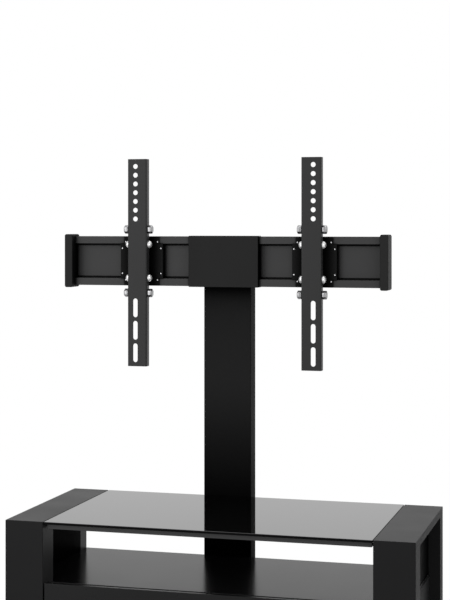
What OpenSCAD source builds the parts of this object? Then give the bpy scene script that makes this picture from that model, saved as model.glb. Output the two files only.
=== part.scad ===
// Television stand with a mount: a low black stand of two side hoops, a black glass top,
// an open bay and a wide drawer, with a steel column behind it that carries a rail and two tilting arms.
// The origin is on the floor, under the middle of the whole object's box. The front faces -Y.

/* [Stand] */
// Width over both side hoops
stand_w = 800; // [740:10:960]
// Depth of the side hoops
stand_d = 370; // [350:5:440]
// Height of the glass top above the floor
stand_h = 450; // [430:10:560]
// Width of a side hoop
hoop_w = 78; // [70:1:90]
// Thickness of a hoop's top and bottom board
hoop_board_t = 16; // [14:1:22]
// Depth of a front leg
front_leg_d = 54; // [44:1:64]
// Width of a back leg
back_leg_w = 28; // [24:1:34]
// Depth of a back leg
back_leg_d = 37; // [32:1:45]
// Chamfer along the edges of the boards
arris = 0.8; // [0.4:0.1:1.5]
// Height of a floor glide
glide_h = 6; // [4:1:10]
// Radius of a floor glide
glide_r = 12; // [8:1:14]

/* [Glass top] */
// Thickness of the glass top
glass_t = 5; // [4:0.5:8]
// Gap between the glass top and a hoop
glass_gap = 1.2; // [0.8:0.1:2]
// Height of the bars under the glass
bar_h = 10.4; // [8:0.2:10.6]
// Depth of the bars under the glass
bar_d = 20; // [16:1:26]
// Wall of the hollow bars
bar_wall = 1.5; // [1:0.1:2]
// How far the front bar stands back from the glass edge
bar_setback = 12; // [8:1:16]
// Gap between the bars' ends and a hoop
bar_end_gap = 4; // [3:0.5:10]

/* [Open bay and lower box] */
// Drop from the glass top to the shelf
shelf_drop = 127; // [110:1:140]
// Thickness of the shelf
shelf_t = 8; // [6:0.5:12]
// Thickness of the box floor
floor_t = 18; // [16:1:22]
// Distance from the hoops' back to the box floor's back edge
box_back_gap = 29; // [27:1:36]
// Thickness of the side boards that fill the hoops under the shelf
side_t = 18; // [16:1:22]
// How far those side boards stand in from the hoops' outer face
side_recess = 22; // [18:1:24]
// Thickness of the dark glass that fills the hoops above the shelf
side_glass_t = 4; // [3:0.5:5]
// How far that glass stands in from the side board's outer face
side_glass_step = 2; // [1:0.5:3]
// Height of the box floor's underside above the floor
box_clearance = 40; // [30:1:60]
// Thickness of the box's inner sides
inner_side_t = 16; // [12:1:19]
// Thickness of the box's back panel
back_t = 6; // [3:0.5:8]

/* [Drawer] */
// Thickness of the drawer front
front_t = 18; // [16:1:22]
// How far the drawer front stands above the shelf
front_rise = 8.5; // [4:0.5:12]
// Gap between the drawer front and a front leg
front_gap = 3.2; // [2:0.2:5]
// Thickness of the drawer front before the pull groove in its top edge
pull_lip = 8.5; // [6:0.5:10]
// Width of the pull groove
pull_w = 6.5; // [4:0.5:7]
// Depth of the pull groove
pull_depth = 6; // [4:0.5:8]
// Gap between the drawer front and the shelf's edge
front_shelf_gap = 2; // [1:0.5:3]
// Thickness of the drawer's sides and back
drawer_wall = 12; // [10:1:16]
// Thickness of the drawer's bottom
drawer_bottom_t = 6; // [4:0.5:8]
// Height of the drawer's sides
drawer_side_h = 190; // [140:5:200]
// Room between the drawer's back and the panel behind it
drawer_back_gap = 27; // [15:1:40]
// Room for a runner between the drawer and the box
runner_room = 12.7; // [12:0.1:14]
// Height of the outer runner channel
runner_h = 45; // [40:1:52]
// Sheet thickness of the runners
runner_sheet = 1.2; // [1:0.1:1.5]
// How far the runners stop short of the drawer's back
runner_back_gap = 6; // [4:1:20]

/* [Column] */
// Width of the column
column_w = 103; // [80:1:120]
// Depth of the column
column_d = 40; // [30:1:50]
// Wall of the column
column_wall = 2.5; // [2:0.1:4]
// Sideways place of the column from the stand's middle
column_offset = -56; // [-60:1:0]
// Thickness of the plates that hold the column
bracket_t = 3; // [2.5:0.5:5]
// Width of the plates that hold the column
bracket_w = 190; // [170:5:220]
// Height of the crossbars behind the box
crossbar_h = 40; // [36:1:50]
// Wall of the crossbars
crossbar_wall = 2; // [1.5:0.1:2.5]
// Height of the plastic foot under the column
foot_h = 10; // [6:1:14]

/* [Rail] */
// Height of the rail's middle above the floor
rail_z = 946; // [900:1:1100]
// Length of the rail without its end caps
rail_len = 667; // [620:1:720]
// Height of the rail
rail_h = 105.2; // [100:0.2:116]
// Depth of the rail
rail_d = 20; // [19:0.5:24]
// Height of the rail's upper and lower flange
flange_h = 15.5; // [14:0.5:18]
// Wall of the hollow flanges
flange_wall = 2.2; // [2:0.1:3]
// Thickness of the rail's web
web_t = 5; // [4.8:0.1:7]
// Width of the grooves between the web and the flanges
groove_w = 4; // [3:0.5:5]
// Depth of those grooves
groove_d = 3.5; // [3:0.1:3.6]
// Thickness of the head plate between the column and the rail
head_plate_t = 5; // [4:0.5:8]
// Width of the head plate
head_plate_w = 144; // [130:1:150]
// Length of an end cap along the rail
cap_len = 17.5; // [14:0.5:22]
// Height of an end cap
cap_h = 114; // [112:1:120]
// How far an end cap stands out in front of the rail
cap_proud = 19; // [12:1:22]
// Corner radius of the end caps and the centre cover
cap_r = 4; // [2:0.5:6]
// Width of the centre cover
cover_w = 151; // [148:1:160]
// How far the centre cover stands out in front of the rail
cover_proud = 9; // [6:1:12]
// Wall of the centre cover
cover_wall = 2; // [1.5:0.1:2.4]

/* [Arms] */
// Distance of the left arm from the rail's middle
left_arm_x = 182; // [150:1:260]
// Distance of the right arm from the rail's middle
right_arm_x = 194; // [150:1:260]
// Height of an arm
arm_h = 438; // [420:2:460]
// Width of an arm
arm_w = 42.4; // [40:0.2:46]
// Depth of an arm's flanges
arm_d = 17; // [16.4:0.2:19]
// Sheet thickness of an arm
arm_sheet = 2.5; // [2:0.1:3]
// How far the arms' middle hangs below the rail's middle
arm_drop = 3; // [0:0.5:4]
// Gap between an arm's flanges and the slider plate
arm_gap = 13; // [12:0.5:16]
// Radius of the round screen holes
hole_r = 5.2; // [4:0.1:5.5]
// Number of round screen holes
hole_count = 7; // [5:1:7]
// Spacing of the round screen holes
hole_pitch = 18.5; // [18:0.5:19]
// Distance of the first round hole from the arm's top
hole_top = 15.6; // [12:0.2:18]
// Number of screen slots
slot_count = 3; // [2:1:3]
// Length of a screen slot
slot_len = 39.6; // [36:0.2:40]
// Radius of a screen slot's ends
slot_r = 5; // [4:0.1:5.5]
// Spacing of the screen slots
slot_pitch = 47.5; // [46:0.5:49]
// Distance of the last slot from the arm's bottom
slot_bottom = 8.7; // [8:0.1:12]
// How far holes and slots stand outward from the arm's middle
hole_outward = 4; // [0:0.5:6]

/* [Sliders] */
// Width of a slider inside the rail
slider_w = 94; // [90:1:104]
// Width of a slider over the flanges
slider_neck_w = 78; // [76:1:92]
// Thickness of the slider plate in front of the flanges
slider_plate_t = 1.7; // [1.5:0.1:2.5]
// Thickness of the two ears that hold an arm
ear_t = 3; // [2.5:0.1:4]
// Half height of the ears
ear_reach = 48; // [46:1:50]
// Largest forward tilt of the arms, in degrees
tilt_max = 8; // [4:1:8]
// Radius of the tilt pin
pin_r = 3; // [2.5:0.1:3.2]
// Radius of the shank of the domed bolts
dome_shank_r = 2.5; // [2:0.1:2.6]
// Radius of the domed bolt heads
dome_r = 7.8; // [7:0.1:8.2]
// Height of the domed bolt heads
dome_h = 8; // [5:0.5:9]
// Height of the domed bolts above and below the tilt pin
dome_reach = 35.4; // [33:0.2:37]
// Radius of the shank of the cross bolts
cross_shank_r = 4; // [3:0.1:4.2]
// Width across the flats of the cross bolts' nuts
nut_flats = 16; // [14:0.5:20]
// Length of the cross bolts' nuts
nut_len = 10; // [8:0.5:11]
// Height of the cross bolts above and below the tilt pin
cross_reach = 67.2; // [66:0.2:72]
// Radius of the slider rivets
rivet_r = 1.8; // [1.4:0.1:2.4]
// Height of the slider rivets
rivet_h = 1; // [0.6:0.1:1.6]

/* [Hidden] */
$fn = 48;

// Clearances
// Running clearance between pieces that slide past each other
slide_gap = 0.3;
// Radial clearance of a bolt in its hole
bolt_gap = 0.1;
// Radial clearance of the tilt pin in the ears
pin_gap = 0.05;
// Overrun of a cut past the faces that it opens
overrun = 1;

// Places of the stand
half_w = stand_w / 2;
cap_half_span = rail_len / 2 + cap_len;
left_reach = max(half_w, cap_half_span - column_offset);
right_reach = max(half_w, cap_half_span + column_offset);
stand_x = (left_reach - right_reach) / 2;
mount_x = stand_x + column_offset;
front_y = -(stand_d + bracket_t + column_d) / 2;
back_y = front_y + stand_d;
inner_x = half_w - hoop_w;
board_bottom_z = glide_h + hoop_board_t;
board_top_z = stand_h - hoop_board_t;
shelf_z = stand_h - shelf_drop;
side_outer_x = half_w - side_recess;
side_inner_x = side_outer_x - side_t;
side_glass_x = side_outer_x - side_glass_step;
back_leg_x = half_w - back_leg_w;
box_back_y = back_y - box_back_gap;
window_front_y = front_y + front_leg_d;
window_back_y = back_y - back_leg_d;
box_front_y = front_y + front_t + front_shelf_gap;
box_floor_z = box_clearance + floor_t;
shelf_bottom_z = shelf_z - shelf_t;
back_panel_y = box_back_y - back_t;
glide_inset = glide_r * 1.6;

// Places of the bars under the glass
bar_top_z = stand_h - glass_t;
bar_z = bar_top_z - bar_h;
bar_end_x = inner_x - bar_end_gap;
bar_front_y = front_y + bar_setback;
bar_back_y = back_y - bar_setback;
dowel_r = bar_h * 0.28;
dowel_sink = bar_d * 0.7;
dowel_len = bar_end_gap + 2 * dowel_sink;
dowel_z = bar_z + bar_h / 2;
dowel_shares = [0.1, 0.5, 0.9];

// Places of the drawer
drawer_front_x = inner_x - front_gap;
drawer_front_z = box_clearance - front_shelf_gap;
drawer_front_h = shelf_z + front_rise - drawer_front_z;
inner_side_x = inner_x - front_gap;
drawer_x = inner_side_x - inner_side_t - runner_room;
drawer_z = box_floor_z + drawer_bottom_t * 2;
drawer_back_y = back_panel_y - drawer_back_gap;
drawer_len = drawer_back_y - front_y - front_t;
runner_front_y = box_front_y + front_shelf_gap;
runner_len = drawer_back_y - runner_back_gap - runner_front_y;
runner_z = drawer_z + drawer_side_h * 0.25;
runner_gap = slide_gap + runner_sheet / 6;
middle_h = runner_h - 2 * runner_sheet - 2 * runner_gap;
inner_h = middle_h - 2 * runner_sheet - 2 * runner_gap;

// Places of the column and what holds it
column_y = back_y + bracket_t;
column_top_z = rail_z + rail_h / 2 - column_wall * 2;
crossbar_y = box_back_y + slide_gap;
crossbar_d = back_y - crossbar_y;
upper_crossbar_z = shelf_bottom_z - crossbar_h;
lower_crossbar_z = box_floor_z;
plug_flange_t = column_wall;
plug_depth = column_d / 2;
bracket_bolt_x = (bracket_w / 2 + column_w / 2) / 2;
bracket_bolt_r = crossbar_h / 10;

// Places of the rail and the head
rail_back_y = column_y - head_plate_t;
rail_y = rail_back_y - rail_d;
web_y = rail_back_y - web_t;
recess_h = rail_h - 2 * flange_h;
undercut_h = groove_w * 0.8;
undercut_d = groove_d * 0.6;
hollow_d = rail_d - web_t - 2 * flange_wall;
hollow_h = flange_h - 2 * flange_wall;
rail_bolt_r = cross_shank_r;
rail_bolt_x = (column_w / 2 + head_plate_w / 2) / 2;
rail_bolt_z = recess_h / 4;
rail_bolt_gap = bolt_gap * 2;
head_plate_h = rail_h - flange_wall * 2;
cap_y = rail_y - cap_proud;
cap_back_y = rail_back_y + head_plate_t - slide_gap;
spigot_len = cap_len * 0.7;
cover_y = rail_y - cover_proud;
cover_h = rail_h + cover_wall + slide_gap * 2;

// Places of the sliders and the arms
left_x = mount_x - left_arm_x;
right_x = mount_x + right_arm_x;
slider_y = rail_y - slide_gap - slider_plate_t;
arm_back_y = slider_y - arm_gap;
arm_y = arm_back_y - arm_d;
arm_z = rail_z - arm_drop;
pin_y = arm_y + arm_sheet + arm_d * 9 / 16;
cross_y = pin_y - rivet_r * 0.8;
ear_outer_x = arm_w / 2 - arm_sheet - slide_gap * 1.5;
ear_front_y = arm_y + arm_sheet + slide_gap * 1.5;
ear_root_y = slider_y + slider_plate_t / 2;
ear_slant = ear_reach * tan(tilt_max) + slide_gap;
slot_half = dome_shank_r + slide_gap;
rivet_web_x = slider_w / 2 - rivet_r * 2.2;
rivet_neck_x = slider_neck_w / 2 - rivet_r * 2;
rivet_web_z = recess_h * 0.36;
rivet_neck_z = rail_h / 2 - flange_h * 0.78;
dome_steps = 6;
slot_steps = 6;
nut_chamfer = nut_len / 8;
hex_r = nut_flats / sqrt(3);

lacquer = [0.05, 0.05, 0.052];
dark_glass = [0.03, 0.03, 0.035];
coated_steel = [0.07, 0.07, 0.075];
rail_black = [0.11, 0.11, 0.115];
black_plastic = [0.06, 0.06, 0.06];
zinc = [0.8, 0.8, 0.8];
inner_board = [0.09, 0.09, 0.09];
pad_rubber = [0.12, 0.12, 0.12];

// A box from its low corner, with a small chamfer on every edge.
module board(low, size, cut = arris) {
    translate(low) intersection() {
        linear_extrude(size[2]) cut_square(size[0], size[1], cut);
        translate([size[0], 0, 0]) rotate([0, -90, 0])
            linear_extrude(size[0]) cut_square(size[2], size[1], cut);
        translate([0, size[1], 0]) rotate([90, 0, 0])
            linear_extrude(size[1]) cut_square(size[0], size[2], cut);
    }
}

// A rectangle from the origin with its four corners cut off.
module cut_square(w, h, cut) {
    polygon([
        [cut, 0], [w - cut, 0], [w, cut], [w, h - cut],
        [w - cut, h], [cut, h], [0, h - cut], [0, cut]
    ]);
}

// A rectangle about the origin with round corners.
module round_square(w, h, r) {
    square([w - 2 * r, h], center = true);
    square([w, h - 2 * r], center = true);
    for (sx = [-1, 1], sz = [-1, 1])
        translate([sx * (w / 2 - r), sz * (h / 2 - r)]) circle(r);
}

// Draws its children as they are for side 1, and mirrored about the plane x = 0 for side -1.
module mirrored(side) {
    if (side > 0) children();
    else mirror([1, 0, 0]) children();
}

// The same about the stand's middle.
module on_side(side) {
    translate([stand_x, 0, 0]) mirrored(side) children();
}

// A cylinder that lies along X, about the origin.
module rod_x(r, len) {
    rotate([0, 90, 0]) cylinder(r = r, h = len, center = true);
}

// A cylinder that runs along +Y from the origin.
module rod_y(r, len) {
    rotate([-90, 0, 0]) cylinder(r = r, h = len);
}

// The side hoops: two legs, a top board and a bottom board each.
module front_leg(side) {
    color(lacquer) on_side(side)
        board([inner_x, front_y, board_bottom_z],
            [hoop_w, front_leg_d, board_top_z - board_bottom_z]);
}

module back_leg(side) {
    color(lacquer) on_side(side)
        board([back_leg_x, window_back_y, board_bottom_z],
            [back_leg_w, back_leg_d, board_top_z - board_bottom_z]);
}

module dowel_row(r) {
    for (s = dowel_shares)
        translate([bar_end_x + bar_end_gap / 2, bar_front_y + s * (bar_back_y - bar_front_y), dowel_z])
            rod_x(r, dowel_len);
}

module top_board(side) {
    color(lacquer) on_side(side) difference() {
        board([inner_x, front_y, board_top_z], [hoop_w, stand_d, hoop_board_t]);
        dowel_row(dowel_r + bolt_gap);
    }
}

module bottom_board(side) {
    color(lacquer) on_side(side)
        board([inner_x, front_y, glide_h], [hoop_w, stand_d, hoop_board_t]);
}

module side_glass(side) {
    color(dark_glass) on_side(side)
        translate([side_glass_x - side_glass_t, window_front_y, shelf_z])
            cube([side_glass_t, window_back_y - window_front_y, board_top_z - shelf_z]);
}

module side_board(side) {
    color(lacquer) on_side(side)
        board([side_inner_x, window_front_y, board_bottom_z],
            [side_t, window_back_y - window_front_y, shelf_bottom_z - board_bottom_z]);
}

module floor_glides() {
    color(pad_rubber)
        for (side = [-1, 1], x = [inner_x + glide_inset, half_w - glide_inset],
            y = [front_y + glide_inset, back_y - glide_inset])
            translate([stand_x + side * x, y, 0]) cylinder(r = glide_r, h = glide_h);
}

// The glass top and the hollow bars under it.
module top_glass() {
    color(dark_glass)
        board([stand_x - inner_x + glass_gap, front_y, bar_top_z],
            [2 * (inner_x - glass_gap), stand_d, glass_t]);
}

module bar_along_x(y) {
    color(coated_steel) difference() {
        translate([stand_x - bar_end_x, y, bar_z]) cube([2 * bar_end_x, bar_d, bar_h]);
        translate([stand_x - bar_end_x - overrun, y + bar_wall, bar_z + bar_wall])
            cube([2 * (bar_end_x + overrun), bar_d - 2 * bar_wall, bar_h - 2 * bar_wall]);
    }
}

module front_bar() {
    bar_along_x(bar_front_y);
}

module rear_bar() {
    bar_along_x(bar_back_y - bar_d);
}

module side_bar(side) {
    color(coated_steel) on_side(side) difference() {
        translate([bar_end_x - bar_d, bar_front_y + bar_d, bar_z])
            cube([bar_d, bar_back_y - bar_front_y - 2 * bar_d, bar_h]);
        translate([bar_end_x - bar_d + bar_wall, bar_front_y + bar_d - overrun, bar_z + bar_wall])
            cube([bar_d - 2 * bar_wall, bar_back_y - bar_front_y, bar_h - 2 * bar_wall]);
        dowel_row(dowel_r + bolt_gap);
    }
}

module bar_dowels() {
    color(zinc) for (side = [-1, 1]) on_side(side) dowel_row(dowel_r);
}

// The box: a shelf and a floor notched round the legs, a back panel and two inner sides.
module notched_board(side_x, rear_y, z, t) {
    half = [
        [inner_x, box_front_y], [inner_x, window_front_y], [side_x, window_front_y],
        [side_x, window_back_y], [back_leg_x, window_back_y], [back_leg_x, rear_y]
    ];
    last = len(half) - 1;
    translate([stand_x, 0, z]) linear_extrude(t)
        polygon(concat(half, [for (i = [0 : last]) [-half[last - i][0], half[last - i][1]]]));
}

module shelf() {
    color(lacquer) notched_board(side_outer_x, back_y, shelf_bottom_z, shelf_t);
}

module box_floor() {
    color(inner_board) notched_board(side_inner_x, box_back_y, box_clearance, floor_t);
}

module box_back() {
    color(inner_board)
        translate([stand_x - side_inner_x, back_panel_y, box_floor_z])
            cube([2 * side_inner_x, back_t, shelf_bottom_z - box_floor_z]);
}

module inner_side(side) {
    color(inner_board) on_side(side)
        translate([inner_side_x - inner_side_t, box_front_y, box_floor_z])
            cube([inner_side_t, back_panel_y - box_front_y, shelf_bottom_z - box_floor_z]);
}

// The drawer.
module drawer_front() {
    color(lacquer) difference() {
        board([stand_x - drawer_front_x, front_y, drawer_front_z],
            [2 * drawer_front_x, front_t, drawer_front_h]);
        translate([
            stand_x - drawer_front_x - overrun, front_y + pull_lip,
            drawer_front_z + drawer_front_h - pull_depth
        ])
            cube([2 * (drawer_front_x + overrun), pull_w, pull_depth + overrun]);
    }
}

module drawer_side(side) {
    color(inner_board) on_side(side)
        translate([drawer_x - drawer_wall, front_y + front_t, drawer_z])
            cube([drawer_wall, drawer_len, drawer_side_h]);
}

module drawer_bottom() {
    inner = drawer_x - drawer_wall;
    color(inner_board)
        translate([stand_x - inner, front_y + front_t, drawer_z])
            cube([2 * inner, drawer_len, drawer_bottom_t]);
}

module drawer_back() {
    inner = drawer_x - drawer_wall;
    color(inner_board)
        translate([stand_x - inner, drawer_back_y - drawer_wall, drawer_z + drawer_bottom_t])
            cube([2 * inner, drawer_wall, drawer_side_h - drawer_bottom_t]);
}

// A runner channel with its web at web_x and its lips reaching towards toward_x.
module channel(web_x, toward_x, h) {
    way = sign(toward_x - web_x);
    low_x = min(web_x, web_x + way * runner_sheet);
    lip_x = min(web_x, toward_x);
    translate([low_x, runner_front_y, runner_z - h / 2]) cube([runner_sheet, runner_len, h]);
    for (z = [runner_z - h / 2, runner_z + h / 2 - runner_sheet])
        translate([lip_x, runner_front_y, z])
            cube([abs(toward_x - web_x), runner_len, runner_sheet]);
}

module fixed_runner(side) {
    outer = inner_side_x - inner_side_t;
    color(zinc) on_side(side) channel(outer, outer - runner_room * 0.8, runner_h);
}

module middle_runner(side) {
    outer = inner_side_x - inner_side_t - runner_room * 0.35;
    color(zinc) on_side(side) channel(outer, drawer_x + runner_sheet + runner_gap, middle_h);
}

module drawer_runner(side) {
    color(zinc) on_side(side) channel(drawer_x, drawer_x + runner_room * 0.5, inner_h);
}

// The crossbars behind the box and the plates that hold the column.
module crossbar(z) {
    color(coated_steel) difference() {
        translate([stand_x - back_leg_x, crossbar_y, z]) cube([2 * back_leg_x, crossbar_d, crossbar_h]);
        translate([stand_x - back_leg_x - overrun, crossbar_y + crossbar_wall, z + crossbar_wall])
            cube([
                2 * (back_leg_x + overrun), crossbar_d - 2 * crossbar_wall,
                crossbar_h - 2 * crossbar_wall
            ]);
        bracket_bolt_row(z) translate([0, -crossbar_d / 2, 0])
            rod_y(bracket_bolt_r + bolt_gap, crossbar_d);
    }
}

module bracket_bolt_row(z) {
    for (sx = [-1, 1])
        translate([mount_x + sx * bracket_bolt_x, back_y, z + crossbar_h / 2]) children();
}

module bracket(z) {
    color(coated_steel) difference() {
        translate([mount_x - bracket_w / 2, back_y, z]) cube([bracket_w, bracket_t, crossbar_h]);
        bracket_bolt_row(z) translate([0, -overrun, 0])
            rod_y(bracket_bolt_r + bolt_gap, bracket_t + 2 * overrun);
    }
}

// A bolt along Y whose head sits on the plane y = 0 and whose shank runs towards +Y.
module bolt_y(r, len) {
    rod_y(r, len);
    mirror([0, 1, 0]) rotate([-90, 0, 0]) cylinder(r = r * 1.7, h = r * 1.2, $fn = 6);
}

module bracket_bolts() {
    color(zinc) for (z = [upper_crossbar_z, lower_crossbar_z]) bracket_bolt_row(z)
        translate([0, bracket_t, 0]) mirror([0, 1, 0])
            bolt_y(bracket_bolt_r, bracket_t + crossbar_d * 0.4);
}

module column() {
    z = foot_h + plug_flange_t;
    len = column_top_z - z;
    color(coated_steel) translate([mount_x - column_w / 2, column_y, z]) difference() {
        cube([column_w, column_d, len]);
        translate([column_wall, column_wall, -overrun])
            cube([column_w - 2 * column_wall, column_d - 2 * column_wall, len + 2 * overrun]);
    }
}

// A plug that closes an end of the column, with its flange from z = 0 down.
module plug() {
    gap = slide_gap;
    translate([mount_x - column_w / 2, column_y, -plug_flange_t])
        cube([column_w, column_d, plug_flange_t]);
    translate([mount_x - column_w / 2 + column_wall + gap, column_y + column_wall + gap, 0])
        cube([column_w - 2 * (column_wall + gap), column_d - 2 * (column_wall + gap), plug_depth]);
}

module column_foot() {
    color(black_plastic) {
        translate([0, 0, foot_h + plug_flange_t]) plug();
        translate([mount_x, column_y + column_d / 2, foot_h / 2])
            cube([column_w * 0.8, column_d * 0.8, foot_h], center = true);
    }
}

module column_cap() {
    color(black_plastic) translate([0, 0, column_top_z]) mirror([0, 0, 1]) plug();
}

// The head: a plate on the column, the rail and the bolts that join them.
module rail_bolt_places() {
    for (sx = [-1, 1], sz = [-1, 1])
        translate([mount_x + sx * rail_bolt_x, web_y, rail_z + sz * rail_bolt_z]) children();
}

module rail_bolt_holes() {
    rail_bolt_places() translate([0, -overrun, 0])
        rod_y(rail_bolt_r + rail_bolt_gap, web_t + head_plate_t + 2 * overrun);
}

module head_plate() {
    color(coated_steel) difference() {
        translate([mount_x - head_plate_w / 2, rail_back_y, rail_z - head_plate_h / 2])
            cube([head_plate_w, head_plate_t, head_plate_h]);
        rail_bolt_holes();
    }
}

// The rail's section: X is its depth from the back face forward, Y its height from the middle.
module rail_section() {
    top = rail_h / 2;
    recess = recess_h / 2;
    difference() {
        translate([0, -top]) square([rail_d, rail_h]);
        translate([web_t, -recess]) square([rail_d, recess_h]);
        for (s = [-1, 1]) scale([1, s]) {
            translate([web_t - groove_d, recess - groove_w]) square([groove_d + overrun, groove_w]);
            translate([web_t - groove_d, recess - groove_w]) square([undercut_d, groove_w + undercut_h]);
            translate([web_t + flange_wall, recess + flange_wall]) square([hollow_d, hollow_h]);
        }
    }
}

// Turns a section (depth forward, height) and stretches it along X about the rail's middle.
module along_rail(len) {
    translate([mount_x + len / 2, rail_back_y, rail_z]) rotate([0, -90, 0]) rotate([0, 0, -90])
        linear_extrude(len) children();
}

module rail() {
    color(rail_black) difference() {
        along_rail(rail_len) rail_section();
        rail_bolt_holes();
    }
}

module rail_bolts() {
    color(zinc) rail_bolt_places() {
        bolt_y(rail_bolt_r, web_t + head_plate_t + rail_bolt_r * 2);
        translate([0, web_t + head_plate_t, 0]) difference() {
            rotate([-90, 0, 0]) cylinder(r = rail_bolt_r * 1.8, h = rail_bolt_r * 1.6, $fn = 6);
            translate([0, -overrun, 0]) rod_y(rail_bolt_r + bolt_gap, rail_bolt_r * 2 + overrun);
        }
    }
}

// An end cap for the right end. Its plan is rounded, and two spigots fit the hollow flanges.
module end_cap() {
    depth = cap_back_y - cap_y;
    gap = slide_gap;
    translate([rail_len / 2, cap_y + depth / 2, 0]) intersection() {
        translate([cap_len / 2, 0, -cap_h / 2]) linear_extrude(cap_h)
            round_square(cap_len, depth, cap_r / 2);
        translate([cap_len / 2, depth / 2, 0]) rotate([90, 0, 0]) linear_extrude(depth)
            round_square(cap_len, cap_h, cap_r);
    }
    for (s = [-1, 1])
        translate([
            rail_len / 2 - spigot_len, rail_y + flange_wall + gap,
            s * (recess_h / 2 + flange_h / 2) - hollow_h / 2 + gap
        ])
            cube([spigot_len, hollow_d - 2 * gap, hollow_h - 2 * gap]);
}

module rail_end_cap(side) {
    color(black_plastic) translate([mount_x, 0, rail_z]) mirrored(side) end_cap();
}

// The centre cover: a shallow tray over the rail, open towards the back.
module centre_cover() {
    depth = rail_back_y - cover_y;
    gap = slide_gap;
    color(black_plastic) translate([mount_x, cover_y, rail_z]) difference() {
        rotate([-90, 0, 0]) linear_extrude(depth) round_square(cover_w, cover_h, cap_r / 4);
        translate([-cover_w / 2 + cover_wall, cover_wall, -cover_h / 2 + cover_wall / 2])
            cube([cover_w - 2 * cover_wall, depth, cover_h - cover_wall]);
        for (s = [-1, 1])
            translate([-cover_w, cover_proud - gap, s * (recess_h / 2 + flange_h / 2) - flange_h / 2 - gap])
                cube([2 * cover_w, depth, flange_h + 2 * gap]);
        translate([-cover_w, web_y - cover_y - gap, -recess_h / 2])
            cube([2 * cover_w, depth, recess_h]);
    }
}

// A slider about the rail's middle: a block in the rail's recess, feet in its grooves and two ears.
module slider_section() {
    gap = slide_gap;
    foot = recess_h / 2 - gap;
    front = rail_d + gap + slider_plate_t;
    translate([web_t + gap, -foot]) square([front - web_t - gap, 2 * foot]);
    for (s = [-1, 1]) scale([1, s]) {
        translate([web_t - groove_d + gap, foot + gap - groove_w + gap])
            square([groove_d, groove_w - 2 * gap]);
        translate([web_t - groove_d + gap, foot + gap - groove_w + gap])
            square([undercut_d - 2 * gap, groove_w + undercut_h - 2 * gap]);
    }
}

module slider_neck() {
    translate([-slider_neck_w / 2, slider_y, rail_z - rail_h / 2])
        cube([slider_neck_w, slider_plate_t, rail_h]);
}

// The side view of an ear: X is Y, Y is the height from the tilt pin.
module ear_outline() {
    polygon([
        [ear_front_y, ear_reach], [ear_root_y, ear_reach], [ear_root_y, -ear_reach],
        [ear_front_y + ear_slant, -ear_reach], [ear_front_y, 0]
    ]);
}

// The arc that a domed bolt sweeps through an ear as the arm tilts, drawn in a few steps.
module tilt_slot(height, steps) {
    for (i = [0 : steps])
        translate([pin_y, rail_z, 0]) rotate([0, 0, tilt_max * i / steps])
            translate([0, height, 0]) circle(slot_half);
}

module ears() {
    for (s = [-1, 1])
        translate([s > 0 ? ear_outer_x - ear_t : -ear_outer_x, 0, 0])
            rotate([90, 0, 90]) linear_extrude(ear_t) difference() {
                translate([0, rail_z]) ear_outline();
                translate([pin_y, rail_z]) circle(pin_r + pin_gap);
                for (h = [-dome_reach, dome_reach]) tilt_slot(h, slot_steps);
            }
}

module slider(x) {
    color(black_plastic) translate([x, 0, 0]) {
        translate([-mount_x, 0, 0]) along_rail(slider_w) slider_section();
        slider_neck();
        ears();
    }
}

module rivets(x) {
    places = [
        for (sx = [-1, 1], sz = [-1, 1]) each [
            [sx * rivet_web_x, sz * rivet_web_z], [sx * rivet_neck_x, sz * rivet_neck_z]
        ]
    ];
    color(zinc) for (p = places)
        translate([x + p[0], slider_y - rivet_h, rail_z + p[1]]) rod_y(rivet_r, rivet_h);
}

// An arm: a channel with its flanges towards the rail, screen holes and slots, and bolt holes.
module arm_channel() {
    difference() {
        translate([-arm_w / 2, arm_y, arm_z - arm_h / 2]) cube([arm_w, arm_d, arm_h]);
        translate([-arm_w / 2 + arm_sheet, arm_y + arm_sheet, arm_z - arm_h / 2 - overrun])
            cube([arm_w - 2 * arm_sheet, arm_d, arm_h + 2 * overrun]);
    }
}

module screen_holes() {
    top = arm_z + arm_h / 2 - hole_top;
    low = arm_z - arm_h / 2 + slot_bottom + slot_len / 2;
    for (i = [0 : hole_count - 1])
        translate([hole_outward, arm_y - overrun, top - i * hole_pitch])
            rod_y(hole_r, arm_sheet + 2 * overrun);
    for (i = [0 : slot_count - 1])
        translate([hole_outward, arm_y - overrun, low + i * slot_pitch]) screen_slot();
}

module screen_slot() {
    run = slot_len - 2 * slot_r;
    for (s = [-1, 1]) translate([0, 0, s * run / 2]) rod_y(slot_r, arm_sheet + 2 * overrun);
    translate([-slot_r, 0, -run / 2]) cube([2 * slot_r, arm_sheet + 2 * overrun, run]);
}

module arm(side) {
    x = side > 0 ? right_x : left_x;
    through = arm_w + 2 * overrun;
    color(coated_steel) translate([x, 0, 0]) mirrored(side) difference() {
        arm_channel();
        screen_holes();
        translate([0, pin_y, rail_z]) rod_x(pin_r + bolt_gap, through);
        for (h = [-dome_reach, dome_reach])
            translate([0, pin_y, rail_z + h]) rod_x(dome_shank_r + bolt_gap, through);
        for (h = [-cross_reach, cross_reach])
            translate([0, cross_y, rail_z + h]) rod_x(cross_shank_r + bolt_gap, through);
    }
}

// A domed head with its flat face on x = 0, towards +X.
module dome() {
    turns = [for (i = [0 : dome_steps]) 90 * i / dome_steps];
    rotate([0, 90, 0]) rotate_extrude()
        polygon(concat([[0, 0]], [for (a = turns) [dome_r * cos(a), dome_h * sin(a)]]));
}

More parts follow.
